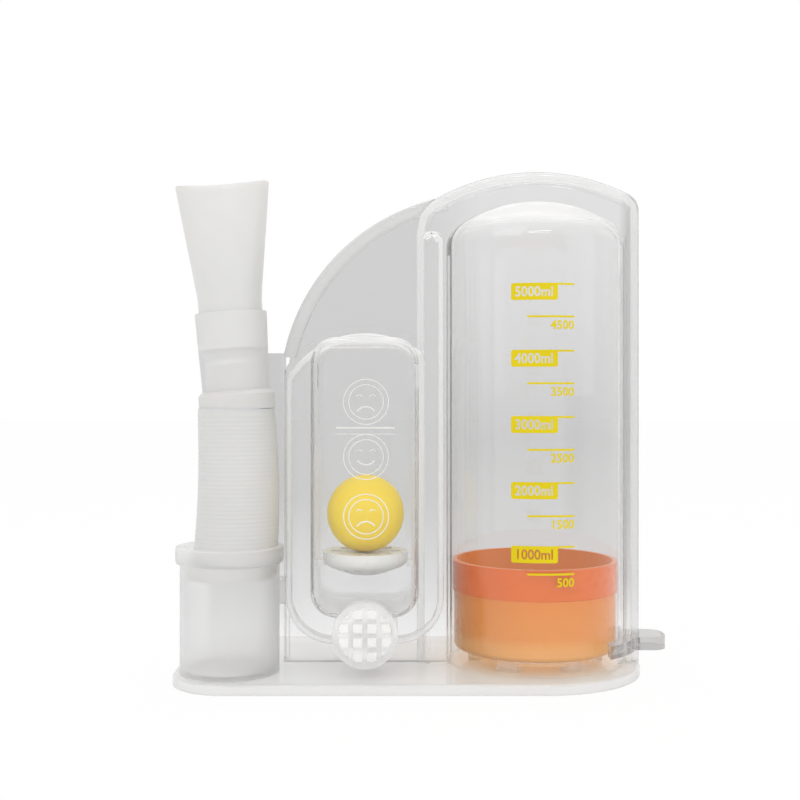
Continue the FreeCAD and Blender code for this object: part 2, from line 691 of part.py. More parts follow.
def goal_slider():
    """Clear marker that grips the flange's edge and points round the chamber to the scale."""
    gap, thick = S["slider_gap"], S["slider_thickness"]
    z = (S["slider_z"], S["slider_z"] + thick)
    inner = S["chamber_radius"] + gap
    outer = inner + S["slider_arm"]
    ring = cut("slider_ring", rod("slider_ring_outer", outer, thick, (S["chamber_x"], 0, z[0])),
               rod("slider_ring_inner", inner, thick, (S["chamber_x"], 0, z[0])))
    tip = S["chamber_x"] + S["slider_pointer"]
    arm = overlap("slider_arm", ring, block("slider_arm_area", (tip, S["flange_right"]),
                                            (-outer, step_front - gap), z))
    edge = S["flange_right"] - S["step_inset"] + gap
    back = sheet_back + S["slider_lip"]
    grip = block("slider_grip", (edge, S["flange_right"] + S["slider_reach"]),
                 (step_front - S["slider_tab_front"], back), z)
    slot = block("slider_slot", (edge - 1, S["flange_right"] + gap), (sheet_front - gap, sheet_back + gap),
                 z)
    corner = S["flange_right"].value + S["slider_reach"].value
    soft = soften("slider_grip_soft", grip, S["slider_bend"],
                  lambda line: runs_along(line, "z") and line.BoundBox.XMin > corner - 1)
    return cut("goal_slider", fuse("slider_whole", arm, soft), slot)


def hose_bellows():
    """Ribbed tube, pushed together, which narrows a little towards the mouthpiece."""
    low, high = S["hose_bottom"], S["hose_top"]
    length = (high - low).value
    ribs = round(length / S["rib_pitch"].value)
    corners = []
    for n in range(ribs):
        for share, depth in ((0, 1), (0.5, 0)):
            part = (n + share) / ribs
            crest = S["hose_bottom_radius"] + (S["hose_top_radius"] - S["hose_bottom_radius"]) * part
            corners.append((crest - S["rib_depth"] * depth, (high - low) * part))
    corners.append((S["hose_top_radius"] - S["rib_depth"], high - low))
    inner_top = S["hose_top_radius"] - S["rib_depth"] - S["hose_wall"]
    inner_low = S["hose_bottom_radius"] - S["rib_depth"] - S["hose_wall"]
    corners += [(inner_top, high - low), (inner_low, as_size(0))]
    points = [Vector(as_size(x).value, 0, as_size(z).value) for x, z in corners]
    profile = Part.Face(Part.makePolygon(points + [points[0]]))
    hose = doc.addObject("Part::Feature", "hose_bellows")
    hose.Shape = profile.revolve(Vector(), Vector(0, 0, 1), 360)
    return place(hose, (S["hose_x"], cup_y, low))


def hose_plug():
    """Cuff on the hose's lower end, which plugs the cup."""
    wide = cup_bore - S["plug_clearance"]
    return turned("hose_plug", [(S["plug_bore"], 0), (wide, 0), (wide, S["plug_height"]),
                                (S["plug_bore"], S["plug_height"])],
                  (S["cup_x"], cup_y, plug_bottom), {1: S["hose_wall"]})


def hose_cuff():
    """Bevelled cuff on the hose's upper end."""
    wide, high, cant = S["cuff_radius"], S["cuff_height"], S["cuff_chamfer"]
    return turned("hose_cuff", [(S["valve_bore"], 0), (wide, 0), (wide, high - cant),
                                (wide - cant, high), (S["valve_bore"], high)],
                  lean_point(-high), turn=LEAN)


def valve_body():
    """Sleeve that holds the one-way valve and takes the mouthpiece's neck."""
    bore = S["neck_radius"] + S["neck_clearance"]
    long = S["valve_length"]
    shelf = long - S["neck_depth"] - S["rest_gap"]
    foot, top = S["valve_foot_radius"], S["valve_top_radius"]
    return turned("valve_body", [(S["valve_bore"], 0), (foot, 0), (top, long - S["valve_lip"]),
                                 (top, long), (bore, long), (bore, shelf), (S["valve_bore"], shelf)],
                  lean_point(0), turn=LEAN)


def valve_seat():
    """Small wheel with four spokes that the flap closes."""
    rim_in = S["flap_radius"] - 1
    thick = S["valve_seat_thickness"]
    body = turned("valve_seat", [(rim_in, 0), (S["valve_bore"], 0), (S["valve_bore"], thick),
                                 (rim_in, thick)], lean_point(S["valve_seat_height"]), turn=LEAN)
    half = S["spoke_width"] / 2
    for name, wide, deep in (("across", rim_in + 1, half), ("along", half, rim_in + 1)):
        sketch = new_sketch(body, "seat_spoke_" + name, "XY_Plane")
        outline(sketch, [(-wide, -deep), (wide, -deep), (wide, deep), (-wide, deep)])
        spoke = body.newObject("PartDesign::Pad", "seat_spoke_pad_" + name)
        spoke.Profile = sketch
        bind(spoke, Length=thick)
        doc.recompute()
    return body


def valve_flap():
    rise = S["valve_seat_height"] + S["valve_seat_thickness"] + S["flap_gap"]
    flap = doc.addObject("Part::Cylinder", "valve_flap")
    bind(flap, Radius=S["flap_radius"], Height=S["flap_thickness"])
    return place(flap, lean_point(rise), LEAN)


def flared_form(inset, low, neck_top, top):
    """A round neck that opens into a wide flat mouth."""
    neck = S["neck_radius"].value - inset
    stem = Part.makeCylinder(neck, neck_top - low, Vector(0, 0, low))
    ring = Part.Wire(Part.Circle(Vector(0, 0, neck_top), Vector(0, 0, 1), neck).toShape())
    half_width = S["mouth_width"].value / 2 - inset
    half_depth = S["mouth_depth"].value / 2 - inset
    mouth = Part.Wire(Part.Ellipse(Vector(half_width, 0, top), Vector(0, half_depth, top),
                                   Vector(0, 0, top)).toShape())
    return stem.fuse(Part.makeLoft([ring, mouth], True, True))


def mouthpiece():
    """Flared tube with a round neck and a wide mouth whose edge dips in the middle."""
    wall = S["mouth_wall"].value
    low = (S["valve_length"] - S["neck_depth"]).value
    neck_top = (S["valve_length"] + S["neck_rise"]).value
    top = (S["valve_length"] + S["mouth_length"]).value
    half = S["mouth_width"].value / 2
    dip = S["mouth_dip"].value
    bow = (half * half + dip * dip) / (2 * dip)
    tube = flared_form(0, low, neck_top, top).cut(flared_form(wall, low, neck_top, top))
    saddle = Part.makeCylinder(bow, half * 4, Vector(0, -half * 2, top + bow - dip), Vector(0, 1, 0))
    piece = doc.addObject("Part::Feature", "mouthpiece")
    piece.Shape = tube.cut(saddle).removeSplitter()
    return place(piece, lean_point(0), LEAN)


MAKERS = [base_tray, front_shell, rear_shell, hose_cup, hose_backplate, piston_rest, piston_cup,
          piston_band, flow_ball, ball_seat, inlet_grille, inlet_filter, goal_slider, hose_bellows,
          hose_plug, hose_cuff, valve_body, valve_seat, valve_flap, mouthpiece]


def check_document():
    for thing in doc.Objects:
        if "Invalid" in thing.State or "Error" in thing.State:
            raise RuntimeError("%s failed: %s" % (thing.Label, thing.State))


def export(pieces):
    os.makedirs("parts", exist_ok=True)
    for piece in pieces:
        shape = piece.Shape
        if shape.isNull() or not shape.isValid() or not shape.Solids:
            raise RuntimeError(piece.Label + " has no valid solid")
        shape.exportStep("parts/%s.step" % piece.Label)
        print("%-16s %d solid(s) %10.1f mm3" % (piece.Label, len(shape.Solids), shape.Volume))


pieces = [make() for make in MAKERS]
doc.recompute()
check_document()
export(pieces)
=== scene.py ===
import math
import random

import bpy
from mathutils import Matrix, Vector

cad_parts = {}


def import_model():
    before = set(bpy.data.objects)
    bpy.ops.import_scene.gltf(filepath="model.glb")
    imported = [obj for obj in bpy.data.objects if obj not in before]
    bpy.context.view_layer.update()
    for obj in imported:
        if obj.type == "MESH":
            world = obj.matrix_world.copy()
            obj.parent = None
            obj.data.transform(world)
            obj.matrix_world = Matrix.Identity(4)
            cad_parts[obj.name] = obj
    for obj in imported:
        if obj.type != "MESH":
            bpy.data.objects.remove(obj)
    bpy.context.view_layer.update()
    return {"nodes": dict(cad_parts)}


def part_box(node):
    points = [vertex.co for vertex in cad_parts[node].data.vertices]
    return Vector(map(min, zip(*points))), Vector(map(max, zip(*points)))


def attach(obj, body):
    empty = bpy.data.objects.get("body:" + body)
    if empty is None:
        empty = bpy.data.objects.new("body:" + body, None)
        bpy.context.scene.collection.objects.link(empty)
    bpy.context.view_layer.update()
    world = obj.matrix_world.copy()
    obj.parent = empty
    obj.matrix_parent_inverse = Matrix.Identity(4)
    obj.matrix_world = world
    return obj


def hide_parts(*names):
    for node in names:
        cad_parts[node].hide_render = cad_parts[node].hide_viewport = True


# Looks of a volumetric breathing exerciser: clear two-part body, frosted cup and base, ribbed hose,
# milky mouthpiece, orange piston and yellow ball. Metres, in the frame's own place.

MM = 0.001
TALL = 216.6
CHAMBER_X, CHAMBER_R = 55.8, 38.8
WINDOW_X, WINDOW_FRONT = -18.0, -32.5
CUP_X, CUP_Y = -74.7, -21.8
LEAN, LEAN_X, LEAN_Z = math.radians(3.9), -72.1, 121.8
AIRWAY_LEFT, AIRWAY_RIGHT, AIRWAY_FOOT, AIRWAY_TOP = -51.8, 15.4, 14.2, 146.4
AIRWAY_BEND, AIRWAY_ARCH, AIRWAY_FRONT = 20, 39, -16
DUCT_TOP, DUCT_BEND = 190, 4
FLANGE_LEFT, FLANGE_RIGHT, FLANGE_ARCH, FLANGE_FRONT = 3.7, 100, 88, -8
AIRWAY_LIP, FLANGE_LIP_IN, LIP_FOOT = 1.35, 2.0, 5.5


def start_fresh():
    """Leave edit mode and let go of everything that is selected."""
    if bpy.context.object and bpy.context.object.mode != "OBJECT":
        bpy.ops.object.mode_set(mode="OBJECT")
    bpy.ops.object.select_all(action="DESELECT")


def select_only(piece):
    start_fresh()
    piece.select_set(True)
    bpy.context.view_layer.objects.active = piece


def settle(name, smooth=40):
    """Name the active piece, put its place into its mesh and shade it."""
    piece = bpy.context.object
    if piece.mode != "OBJECT":
        bpy.ops.object.mode_set(mode="OBJECT")
    piece.name = piece.data.name = name
    bpy.ops.object.transform_apply(location=True, rotation=True, scale=True)
    bpy.ops.object.shade_smooth_by_angle(angle=math.radians(smooth))
    return piece


def raise_rings(name, centre, rings, sides=72, cap=False, smooth=40):
    """A turned wall pulled up from a circle, ring by ring. A ring is (height, width, depth, shift)."""
    start_fresh()
    x, y = centre
    height, wide, deep, shift = rings[0]
    bpy.ops.mesh.primitive_circle_add(vertices=sides, radius=MM,
                                      location=((x + shift) * MM, y * MM, height * MM))
    bpy.ops.object.mode_set(mode="EDIT")
    bpy.ops.mesh.select_all(action="SELECT")
    bpy.ops.transform.resize(value=(wide, deep, 1))
    for old, new in zip(rings, rings[1:]):
        move = ((new[3] - old[3]) * MM, 0, (new[0] - old[0]) * MM)
        bpy.ops.mesh.extrude_region_move(TRANSFORM_OT_translate={"value": move})
        middle = ((x + new[3]) * MM, y * MM, new[0] * MM)
        bpy.ops.transform.resize(value=(new[1] / old[1], new[2] / old[2], 1), center_override=middle)
    if cap:
        bpy.ops.mesh.merge(type="CENTER")
    bpy.ops.mesh.select_all(action="SELECT")
    bpy.ops.mesh.remove_doubles(threshold=MM * 0.005)
    bpy.ops.mesh.normals_make_consistent(inside=False)
    return settle(name, smooth)


def even(rings):
    """Rings that are round and stand on the axis, from (height, radius) pairs."""
    return [(height, radius, radius, 0) for height, radius in rings]


def join_all(parts):
    start_fresh()
    for part in parts:
        part.select_set(True)
    bpy.context.view_layer.objects.active = parts[0]
    bpy.ops.object.join()


def lean_over(piece):
    """Tip a piece about the place where the valve body leaves the hose."""
    select_only(piece)
    bpy.ops.object.mode_set(mode="EDIT")
    bpy.ops.mesh.select_all(action="SELECT")
    bpy.ops.transform.rotate(value=LEAN, orient_axis="Y",
                             center_override=(LEAN_X * MM, CUP_Y * MM, LEAN_Z * MM))
    bpy.ops.object.mode_set(mode="OBJECT")
    return piece


def dress(piece, material, *nodes, body=None, slot=None):
    piece.data.materials.clear()
    piece.data.materials.append(material)
    if nodes:
        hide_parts(*nodes)
    if body:
        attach(piece, body)
    return piece


# Greys of the clear plastic by height: a smoky tint with painted shade and light in it. It is lighter near
# the foot, darkest through the middle, lighter again towards the chamber's top and darker on the flange at
# the right. Then the places across and in depth where one grey takes over; the depths are where the tray's
# painted light takes over.
# how much whiter haze the handle's rim gets, as a painted highlight
RIM_PAINTED_HIGHLIGHT = 0.2
SMOKE_AND_SHADE = [(5, 0.99), (14, 0.95), (32, 0.78), (75, 0.60), (216, 0.63)]
CHAMBER_SMOKE_AND_SHADE = [(5, 0.99), (14, 0.95), (40, 0.70), (100, 0.61), (160, 0.72), (190, 0.76), (216, 0.79)]
FLANGE_SMOKE_AND_SHADE = [(5, 0.99), (14, 0.95), (40, 0.62), (100, 0.48), (190, 0.52), (216, 0.66)]
# painted highlight: a band of whiter haze on the rear moulding along the handle's rim
HANDLE_RIM_HIGHLIGHT = ((32.2, 120), (82.1, 88), (17.5, 136.5))  # centre, radii and the corner where it ends
CHAMBER_EDGES, FLANGE_EDGES, PAINTED_LIGHT_DEPTHS = (5, 32), (92, 96), (-14, 2)
CLEAR_BEND = 1.1
# How fine the drift of colour and of gloss is, in dyed and in clear plastic.
DYE_DRIFT, DYE_GLOSS, CLEAR_DRIFT, CLEAR_GLOSS = 28, 260, 22, 60


def new_finish(name):
    material = bpy.data.materials.new(name)
    material.use_nodes = True
    tree = material.node_tree
    shader = tree.nodes["Principled BSDF"]
    place = tree.nodes.new("ShaderNodeTexCoord")
    return material, tree, shader, place


def speckle(tree, place, scale, detail=4):
    noise = tree.nodes.new("ShaderNodeTexNoise")
    noise.inputs["Scale"].default_value = scale
    noise.inputs["Detail"].default_value = detail
    tree.links.new(place.outputs["Object"], noise.inputs["Vector"])
    return noise


def spread(tree, value, low, high):
    """Stretch a noise value to a range."""
    reach = tree.nodes.new("ShaderNodeMapRange")
    reach.inputs["From Min"].default_value = 0.3
    reach.inputs["From Max"].default_value = 0.7
    reach.inputs["To Min"].default_value = low
    reach.inputs["To Max"].default_value = high
    tree.links.new(value, reach.inputs["Value"])
    return reach.outputs["Result"]


def blend_colours(tree, factor, dark, light):
    mix = tree.nodes.new("ShaderNodeMix")
    mix.data_type = "RGBA"
    mix.inputs["A"].default_value = (*dark, 1)
    mix.inputs["B"].default_value = (*light, 1)
    tree.links.new(factor, mix.inputs["Factor"])
    return mix.outputs["Result"]


def ripple(tree, noise, shader, strength, distance):
    bump = tree.nodes.new("ShaderNodeBump")
    bump.inputs["Strength"].default_value = strength
    bump.inputs["Distance"].default_value = distance
    tree.links.new(noise.outputs["Fac"], bump.inputs["Height"])
    tree.links.new(bump.outputs["Normal"], shader.inputs["Normal"])


def along(tree, place, axis, start, end):
    """Where a point lies between two places of an axis: 0 at the start and 1 at the end."""
    split = tree.nodes.new("ShaderNodeSeparateXYZ")
    tree.links.new(place.outputs["Object"], split.inputs["Vector"])
    share = tree.nodes.new("ShaderNodeMapRange")
    share.inputs["From Min"].default_value = start * MM
    share.inputs["From Max"].default_value = end * MM
    tree.links.new(split.outputs[axis], share.inputs["Value"])
    return share.outputs["Result"]


def colour_by_height(tree, place, stops):
    """A colour that changes with height, from (height, colour) pairs. A plain number is a grey."""
    ramp = tree.nodes.new("ShaderNodeValToRGB")
    tree.links.new(along(tree, place, "Z", 0, TALL), ramp.inputs["Fac"])
    stops = [(height, colour if isinstance(colour, tuple) else (colour,) * 3) for height, colour in stops]
    steps = ramp.color_ramp.elements
    for step, (height, colour) in zip(steps, (stops[0], stops[-1])):
        step.position, step.color = height / TALL, (*colour, 1)
    for height, colour in stops[1:-1]:
        steps.new(height / TALL).color = (*colour, 1)
    return ramp.outputs["Color"]


def side_to_side(tree, place, left, right, edges):
    """One colour at the left and another at the right, with a soft change between two places across."""
    mix = tree.nodes.new("ShaderNodeMix")
    mix.data_type = "RGBA"
    tree.links.new(along(tree, place, "X", *edges), mix.inputs["Factor"])
    tree.links.new(left, mix.inputs["A"])
    tree.links.new(right, mix.inputs["B"])
    return mix.outputs["Result"]


def multiply_colours(tree, first, second):
    mix = tree.nodes.new("ShaderNodeMix")
    mix.data_type = "RGBA"
    mix.blend_type = "MULTIPLY"
    mix.inputs["Factor"].default_value = 1
    tree.links.new(first, mix.inputs["A"])
    tree.links.new(second, mix.inputs["B"])
    return mix.outputs["Result"]


def sum_up(tree, operation, first, second=None, third=None):
    """A maths node over up to three values, each a socket or a plain number."""
    node = tree.nodes.new("ShaderNodeMath")
    node.operation = operation
    for socket, value in zip(node.inputs, (first, second, third)):
        if isinstance(value, (int, float)):
            socket.default_value = value
        elif value is not None:
            tree.links.new(value, socket)
    return node.outputs["Value"]


def mix_shaders(tree, factor, first, second):
    mix = tree.nodes.new("ShaderNodeMixShader")
    tree.links.new(factor, mix.inputs["Fac"])
    tree.links.new(first, mix.inputs[1])
    tree.links.new(second, mix.inputs[2])
    return mix.outputs["Shader"]


def ring_mask(tree, place, centre, radii, corner):
    """1 between two radii about a point of the X-Z plane, left of and above a corner, and 0 elsewhere."""
    split = tree.nodes.new("ShaderNodeSeparateXYZ")
    tree.links.new(place.outputs["Object"], split.inputs["Vector"])
    across = sum_up(tree, "SUBTRACT", split.outputs["X"], centre[0] * MM)
    up = sum_up(tree, "SUBTRACT", split.outputs["Z"], centre[1] * MM)
    across = sum_up(tree, "MULTIPLY", across, across)
    away = sum_up(tree, "SQRT", sum_up(tree, "MULTIPLY_ADD", up, up, across))
    inside = sum_up(tree, "MULTIPLY", sum_up(tree, "GREATER_THAN", away, radii[0] * MM),
                    sum_up(tree, "LESS_THAN", away, radii[1] * MM))
    beside = sum_up(tree, "MULTIPLY", sum_up(tree, "LESS_THAN", split.outputs["X"], corner[0] * MM),
                    sum_up(tree, "GREATER_THAN", split.outputs["Z"], corner[1] * MM))
    return sum_up(tree, "MULTIPLY", inside, beside)


def facing_up(tree):
    """How far a surface faces up: 1 for a top, 0 for an upright wall or an underside."""
    geometry = tree.nodes.new("ShaderNodeNewGeometry")
    split = tree.nodes.new("ShaderNodeSeparateXYZ")
    tree.links.new(geometry.outputs["Normal"], split.inputs["Vector"])
    return sum_up(tree, "POWER", sum_up(tree, "MAXIMUM", split.outputs["Z"], 0.0), 1.5)


def let_light_in(material, shader, colour):
    """Let lamps and soft light pass a piece, dyed by its colour."""
    tree = material.node_tree
    path = tree.nodes.new("ShaderNodeLightPath")
    soft = sum_up(tree, "MAXIMUM", path.outputs["Is Shadow Ray"], path.outputs["Is Diffuse Ray"])
    open_way = tree.nodes.new("ShaderNodeBsdfTransparent")
    open_way.inputs["Color"].default_value = (*colour, 1)
    body = mix_shaders(tree, soft, shader, open_way.outputs["BSDF"])
    tree.links.new(body, tree.nodes["Material Output"].inputs["Surface"])
    return material


def moulded(name, dark, light, rough, grain=None, glow=0.0, ior=1.5, passes=None):
    """A moulded plastic: a faint drift of colour, uneven gloss and, where asked, a grain. A colour
    may be a list of (height, colour) pairs."""
    material, tree, shader, place = new_finish(name)
    drift = spread(tree, speckle(tree, place, DYE_DRIFT, 2).outputs["Fac"], 0, 1)
    if isinstance(light, list):
        shade = blend_colours(tree, drift, dark, (1, 1, 1))
        colour = multiply_colours(tree, colour_by_height(tree, place, light), shade)
    else:
        colour = blend_colours(tree, drift, dark, light)
    tree.links.new(colour, shader.inputs["Base Color"])
    skin = speckle(tree, place, DYE_GLOSS, 2)
    tree.links.new(spread(tree, skin.outputs["Fac"], rough[0], rough[1]), shader.inputs["Roughness"])
    if grain:
        ripple(tree, speckle(tree, place, grain[0], 3), shader, 0.25, grain[1])
    shader.inputs["IOR"].default_value = ior
    if glow:
        shader.inputs["Subsurface Weight"].default_value = glow
        shader.inputs["Subsurface Radius"].default_value = (1, 0.7, 0.5)
        shader.inputs["Subsurface Scale"].default_value = 0.004
    if passes:
        let_light_in(material, shader.outputs["BSDF"], passes)
    return material


def clear_moulding(name, tints_and_shade, rough, passes, haze=0.008, edge=0.3, crown=0.45, milk=0.88,
                   skin=1.45, back_milk_painted_light=None, chamber_tints_and_shade=None, rim_highlight=None):
    """A clear moulding with a glossy skin, hazy where it turns away, which lets light straight in. Its haze
    is whiter on faces that look up, as painted top light; where asked, a band on the handle's rim gets a
    painted highlight, and the tray's white grows lighter towards its back as painted light.
    """
    material, tree, shader, place = new_finish(name)
    drift = speckle(tree, place, CLEAR_DRIFT, 2)
    tint_and_shade = colour_by_height(tree, place, tints_and_shade)
    # painted shade and light across: the grey turns to the chamber's stops, then to the darker stops of the
    # flange at the right
    if chamber_tints_and_shade:
        for stops, edges in ((chamber_tints_and_shade, CHAMBER_EDGES), (FLANGE_SMOKE_AND_SHADE, FLANGE_EDGES)):
            tint_and_shade = side_to_side(tree, place, tint_and_shade, colour_by_height(tree, place, stops), edges)
    tint_and_shade = multiply_colours(tree, tint_and_shade, blend_colours(tree, drift.outputs["Fac"], (0.97,) * 3, (1, 1, 1)))
    tree.links.new(tint_and_shade, shader.inputs["Base Color"])
    gloss = speckle(tree, place, CLEAR_GLOSS, 2)
    tree.links.new(spread(tree, gloss.outputs["Fac"], rough[0], rough[1]), shader.inputs["Roughness"])
    shader.inputs["IOR"].default_value = CLEAR_BEND
    shader.inputs["Transmission Weight"].default_value = 1
    shader.inputs["Coat Weight"].default_value = 1
    shader.inputs["Coat Roughness"].default_value = rough[0]
    shader.inputs["Coat IOR"].default_value = skin
    cloud = tree.nodes.new("ShaderNodeBsdfDiffuse")
    cloud.inputs["Color"].default_value = (milk, milk, milk, 1)
    # painted light: the tray's white grows lighter towards its back, where it sits in the shells' shade
    if back_milk_painted_light:
        depth = along(tree, place, "Y", *PAINTED_LIGHT_DEPTHS)
        tree.links.new(blend_colours(tree, depth, (milk,) * 3, (back_milk_painted_light,) * 3), cloud.inputs["Color"])
    turned = tree.nodes.new("ShaderNodeLayerWeight")
    share = sum_up(tree, "MULTIPLY_ADD", sum_up(tree, "POWER", turned.outputs["Facing"], 4), edge, haze)
    # painted top light: faces that look up get more white haze, by the amount crown (a little less on the
    # tray's top)
    share = sum_up(tree, "MULTIPLY_ADD", facing_up(tree), crown, share)
    # painted highlight: whiter haze in a band along the handle's rim
    if rim_highlight:
        share = sum_up(tree, "MULTIPLY_ADD", ring_mask(tree, place, *rim_highlight), RIM_PAINTED_HIGHLIGHT, share)
    body = mix_shaders(tree, share, shader.outputs["BSDF"], cloud.outputs["BSDF"])
    return let_light_in(material, body, (passes,) * 3)


def plain(grey):
    return [(0, grey), (TALL, grey)]


def make_finishes():
    # painted light: the piston's orange is lighter and yellower towards its foot
    orange = [(9, (0.92, 0.43, 0.13)), (15, (0.90, 0.41, 0.11)), (20, (0.86, 0.30, 0.05)),
              (34, (0.84, 0.27, 0.035)), (50, (0.82, 0.25, 0.03))]
    return {
        "front": clear_moulding("clear_front_moulding", plain(0.97), (0.02, 0.05), 0.98),
        # the rear moulding's grey holds painted shade and light by height and across, and a painted
        # highlight on the handle's rim
        "rear": clear_moulding("smoky_rear_moulding_painted_shade", SMOKE_AND_SHADE, (0.03, 0.08), 0.94,
                               chamber_tints_and_shade=CHAMBER_SMOKE_AND_SHADE, rim_highlight=HANDLE_RIM_HIGHLIGHT),
        # the lips are moulded; their extra white haze is a painted highlight along the rounded edges
        "bead_and_highlight": clear_moulding("edge_bead", plain(0.98), (0.04, 0.08), 0.97, haze=0.28, milk=0.97),
        "grille": clear_moulding("frosted_grille", plain(0.97), (0.1, 0.2), 0.97, haze=0.35),
        "marker": clear_moulding("clear_marker_styrene", plain(0.60), (0.04, 0.1), 0.95, milk=0.55,
                                 crown=0.2),
        "rest": clear_moulding("piston_rest_plastic", plain(0.96), (0.04, 0.1), 0.97, haze=0.25),
        # painted light on the tray: its white grows lighter towards the back, under the shells
        "base": clear_moulding("frosted_tray", plain(0.97), (0.05, 0.08), 0.92, haze=0.5, milk=0.82,
                               skin=2.6, back_milk_painted_light=0.97, crown=-0.05),
        "cup": clear_moulding("frosted_cup_plastic", plain(0.96), (0.35, 0.45), 0.97, haze=0.13,
                              milk=0.84, crown=0.2),
        "milky": moulded("milky_mouthpiece_plastic", (0.69, 0.69, 0.685), (0.72, 0.72, 0.715), (0.3, 0.42),
                         glow=0.3),
        "collar": clear_moulding("milky_collar_plastic", plain(0.88), (0.45, 0.55), 0.9, haze=0.55,
                                 milk=0.79),
        "hose": moulded("soft_hose_plastic", (0.65, 0.65, 0.64), (0.68, 0.68, 0.67), (0.38, 0.5),
                        glow=0.3),
        "orange": moulded("orange_piston_plastic", (0.96, 0.95, 0.94), orange, (0.25, 0.35), ior=1.3,
                          passes=(0.99, 0.74, 0.25)),
        "band": moulded("dark_orange_band", (0.80, 0.145, 0.008), (0.83, 0.165, 0.012), (0.24, 0.34),
                        ior=1.3, passes=(0.99, 0.68, 0.2)),
        "ball": moulded("yellow_ball_plastic", (0.98, 0.69, 0.03), (1.0, 0.74, 0.05), (0.3, 0.4),
                        glow=0.2, ior=1.3),
        "seat": moulded("white_seat_plastic", (0.80, 0.80, 0.78), (0.85, 0.85, 0.83), (0.25, 0.35),
                        glow=0.35),
        "foam": moulded("open_foam", (0.90, 0.90, 0.89), (0.98, 0.98, 0.97), (0.8, 0.95),
                        grain=(700, 0.0004)),
        "silicone": moulded("valve_silicone", (0.74, 0.74, 0.74), (0.80, 0.80, 0.80), (0.35, 0.5)),
        "print": moulded("yellow_print", (0.70, 0.56, 0.01), (0.76, 0.62, 0.015), (0.4, 0.5), ior=1.2),
        "relief": moulded("raised_relief", (0.78, 0.78, 0.76), (0.84, 0.84, 0.82), (0.2, 0.3), ior=1.3),
    }


HOSE_X, HOSE_LOW, HOSE_HIGH = -72.4, 50.0, 114.5
HOSE_FOOT_R, HOSE_HEAD_R, HOSE_FOOT_BORE, HOSE_HEAD_BORE = 17.5, 15.95, 15.3, 14.85
RIB_PITCH, RIB_DEPTH, RIB_TAPER, RIB_STRAY, CUFF_TALL = 1.72, 0.11, 1.45, 0.02, 1.6


def hose_shift(height):
    """How far the pushed-together hose bows from its axis at a height."""
    part = (height - HOSE_LOW) / (HOSE_HIGH - HOSE_LOW)
    return 1.2 * math.sin(math.pi * part) + 0.4 * part


def hose_ribs():
    """The ribs' outside from the foot up, a little uneven."""
    chance = random.Random(7)
    ribs = []
    for rib in range(int((HOSE_HIGH - HOSE_LOW - 4) / RIB_PITCH)):
        foot = HOSE_LOW + 2 + rib * RIB_PITCH
        part = (foot - HOSE_LOW) / (HOSE_HIGH - HOSE_LOW)
        crest = HOSE_FOOT_R - RIB_TAPER * part ** 1.3 + chance.uniform(-RIB_STRAY, RIB_STRAY)
        ribs += [(foot, crest - RIB_DEPTH), (foot + RIB_PITCH * 0.3, crest), (foot + RIB_PITCH * 0.7, crest)]
    return ribs


def make_bellows(finish):
    """Fine ribs pushed together, with a plain cuff at each end."""
    outside = [(HOSE_LOW, HOSE_FOOT_R - 0.3), (HOSE_LOW + CUFF_TALL, HOSE_FOOT_R - 0.1)]
    outside += hose_ribs() + [(HOSE_HIGH - CUFF_TALL, HOSE_HEAD_R), (HOSE_HIGH, HOSE_HEAD_R)]
    inside = [(HOSE_HIGH, HOSE_HEAD_BORE), (HOSE_HIGH - 4, HOSE_HEAD_BORE),
              (HOSE_LOW + 4, HOSE_FOOT_BORE), (HOSE_LOW, HOSE_FOOT_BORE), outside[0]]
    rings = [(z, r, r, hose_shift(z)) for z, r in outside + inside]
    piece = raise_rings("ribbed_hose", (HOSE_X, CUP_Y), rings, sides=80, smooth=50)
    return dress(piece, finish, "hose_bellows", body="hose", slot="hose_plastic")


MOUTH_WALL, MOUTH_HALF, MOUTH_RISE = 1.5, 19.6, 87.2
DIP_START, MOUTH_DIP = 60, 2.5


def make_mouthpiece(finish):
    """A round neck that flares to an oval mouth with a dipped front and back."""
    flare = [(17.7, 13.2, 13.2), (18.7, 13.3, 13.3), (37.5, 13.3, 13.3), (40, 13.5, 13.2),
             (44, 14.0, 13.1), (50, 14.8, 12.8), (59, 16.0, 12.4), (73, 17.9, 11.9), (84, 19.3, 11.6),
             (86.6, 19.6, 11.5)]
    lip = [(87.1, 19.4, 11.3), (87.2, 18.9, 10.8), (87.1, 18.3, 10.2), (86.6, 18.1, 10.0)]
    inside = [(rise, wide - MOUTH_WALL, deep - MOUTH_WALL) for rise, wide, deep in reversed(flare[:-1])]
    rings = [(LEAN_Z + rise, wide, deep, 0) for rise, wide, deep in flare + lip + inside + flare[:1]]
    piece = raise_rings("mouthpiece_body", (LEAN_X, CUP_Y), rings, sides=96, smooth=60)
    for vertex in piece.data.vertices:
        rise = (vertex.co.z / MM - LEAN_Z - DIP_START) / (MOUTH_RISE - DIP_START)
        if rise > 0:
            across = min(1, abs(vertex.co.x / MM - LEAN_X) / MOUTH_HALF)
            vertex.co.z -= MOUTH_DIP * MM * (1 - across ** 2) * rise ** 2
    lean_over(piece)
    return dress(piece, finish, "mouthpiece", body="mouthpiece", slot="milky_mouthpiece")


def make_floor_rings(finish):
    """Two moulded rings on the floor of the cup, which show through its wall."""
    parts = []
    for radius in (17.2, 14.0):
        start_fresh()
        bpy.ops.mesh.primitive_torus_add(major_radius=radius * MM, minor_radius=0.35 * MM,
                                         major_segments=96, minor_segments=10,
                                         location=(CUP_X * MM, CUP_Y * MM, 6.1 * MM))
        parts.append(settle("cup_floor_ring"))
    join_all(parts)
    return dress(settle("cup_floor_rings"), finish, body="housing", slot="frosted_cup")


